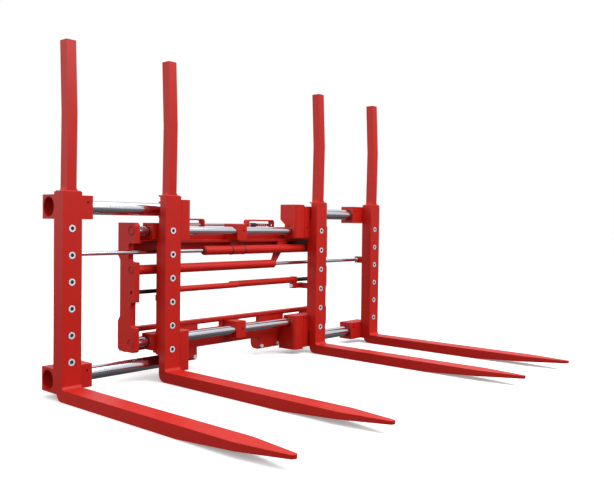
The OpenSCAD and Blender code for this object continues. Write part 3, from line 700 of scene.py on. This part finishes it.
def cutHex(piece, centre, across, depth, turn):
    # a hexagonal socket, cut with a six-sided bar
    pickNone()
    corner = across / 2 / math.cos(math.pi / 6)
    bpy.ops.mesh.primitive_cylinder_add(vertices=6, radius=corner, depth=depth * 2,
                                        location=centre, rotation=turn)
    tool = bpy.context.object
    pick(piece)
    addModifier(piece, "BOOLEAN", object=tool, operation="DIFFERENCE", solver="EXACT")
    bpy.data.objects.remove(tool)


def addSetScrew(name, x, front, z, body):
    # a socket set screw in a hole of a face that looks along -Y
    pickNone()
    turn = (math.pi / 2, 0, 0)
    y = front + fitting["screwSunk"] + fitting["screwDepth"] / 2
    bpy.ops.mesh.primitive_cylinder_add(vertices=28, radius=fitting["screwRadius"],
                                        depth=fitting["screwDepth"], location=(x, y, z), rotation=turn)
    screw = bpy.context.object
    addModifier(screw, "BEVEL", width=fitting["screwEdge"], segments=2, limit_method="ANGLE",
                angle_limit=math.radians(50))
    cutHex(screw, (x, front + fitting["screwSunk"], z), fitting["hexAcross"], fitting["hexDepth"], turn)
    settle(screw, name, body, "blackOxide", angle=40)


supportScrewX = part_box("rod_support_top")[1].x - screwPlace["supportIn"]
for level in ("top", "bottom"):
    z = axisOf("frame_rod_" + level)[1]
    addSetScrew("support_screw_" + level, supportScrewX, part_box("rod_support_" + level)[0].y,
                z + screwPlace["supportUp"], "frame")
    for side, sign in (("left", -1), ("right", 1)):
        low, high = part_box("fork_inner_" + side)
        addSetScrew(f"casting_screw_{level}_{side}", (low.x + high.x) / 2 - sign * screwPlace["castingOut"],
                    high.y + screwPlace["castingBack"], z + screwPlace["castingUp"], "inner_" + side)
        low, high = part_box("fork_outer_" + side)
        guideZ = axisOf(f"guide_rod_{level}_{side}")[1]
        addSetScrew(f"block_screw_{level}_{side}", (low.x + high.x) / 2 - sign * screwPlace["blockOut"],
                    high.y + screwPlace["blockBack"], guideZ + screwPlace["blockUp"], "outer_" + side)

low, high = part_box("port_block")
for i in range(fitting["plugCount"]):
    pickNone()
    x = low.x + (high.x - low.x) * (i + 0.5) / fitting["plugCount"]
    y = high.y - fitting["plugBack"]
    bpy.ops.mesh.primitive_cylinder_add(vertices=6, radius=fitting["plugRadius"], depth=fitting["plugHeight"],
                                        location=(x, y, low.z - fitting["plugHeight"] / 2))
    plug = bpy.context.object
    addModifier(plug, "BEVEL", width=fitting["plugEdge"], segments=2, limit_method="ANGLE",
                angle_limit=math.radians(40))
    cutHex(plug, (x, y, low.z - fitting["plugHeight"]), fitting["plugHex"], fitting["plugHexDepth"],
           (0, 0, 0))
    settle(plug, f"port_plug_{i}", "frame", "zinc", angle=40)

# coil spring that pushes the latch bar home

spring = {"coilRadius": 0.0082, "wire": 0.0016, "turns": 15, "pitch": 0.0046, "fromKnob": 0.003}

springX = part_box("latch_knob")[1].x + spring["fromKnob"]
y, z = axisOf("latch_bar")
pickNone()
bpy.ops.mesh.primitive_circle_add(vertices=8, radius=spring["wire"], location=(springX, y, z),
                                  rotation=(0, 0, math.pi / 2))
coil = bpy.context.object
bpy.ops.object.mode_set(mode="EDIT")
bpy.ops.transform.rotate(value=math.pi / 2, orient_axis="X", center_override=coil.location)
bpy.ops.transform.translate(value=(0, 0, spring["coilRadius"]))
bpy.ops.object.mode_set(mode="OBJECT")
bpy.ops.object.transform_apply(location=False, rotation=True, scale=False)
addModifier(coil, "SCREW", axis="X", angle=2 * math.pi * spring["turns"], steps=20, render_steps=20,
            screw_offset=spring["pitch"] * spring["turns"])
bpy.ops.object.mode_set(mode="EDIT")
bpy.ops.mesh.select_all(action="SELECT")
bpy.ops.mesh.remove_doubles(threshold=edgeRule["merge"])
bpy.ops.mesh.fill_holes(sides=0)
bpy.ops.mesh.normals_make_consistent(inside=False)
bpy.ops.object.mode_set(mode="OBJECT")
settle(coil, "latch_spring", "latch", "zinc", angle=60)
print("fittings done")

# nuts on the long rods are painted over

rodNut = {"fromFork": 0.031, "half": 0.013, "bore": 0.0092}

for side, sign, tube in (("left", 1, "upper"), ("right", -1, "lower")):
    low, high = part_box("fork_outer_" + side)
    nutX = (low.x + high.x) / 2 + sign * rodNut["fromFork"]
    y, z = axisOf(tube + "_cylinder_tube")
    repaint(dressed["long_rod_" + side], "redPaint", lambda face: abs(face.center.x - nutX) < rodNut["half"]
            and math.hypot(face.center.y - y, face.center.z - z) > rodNut["bore"])
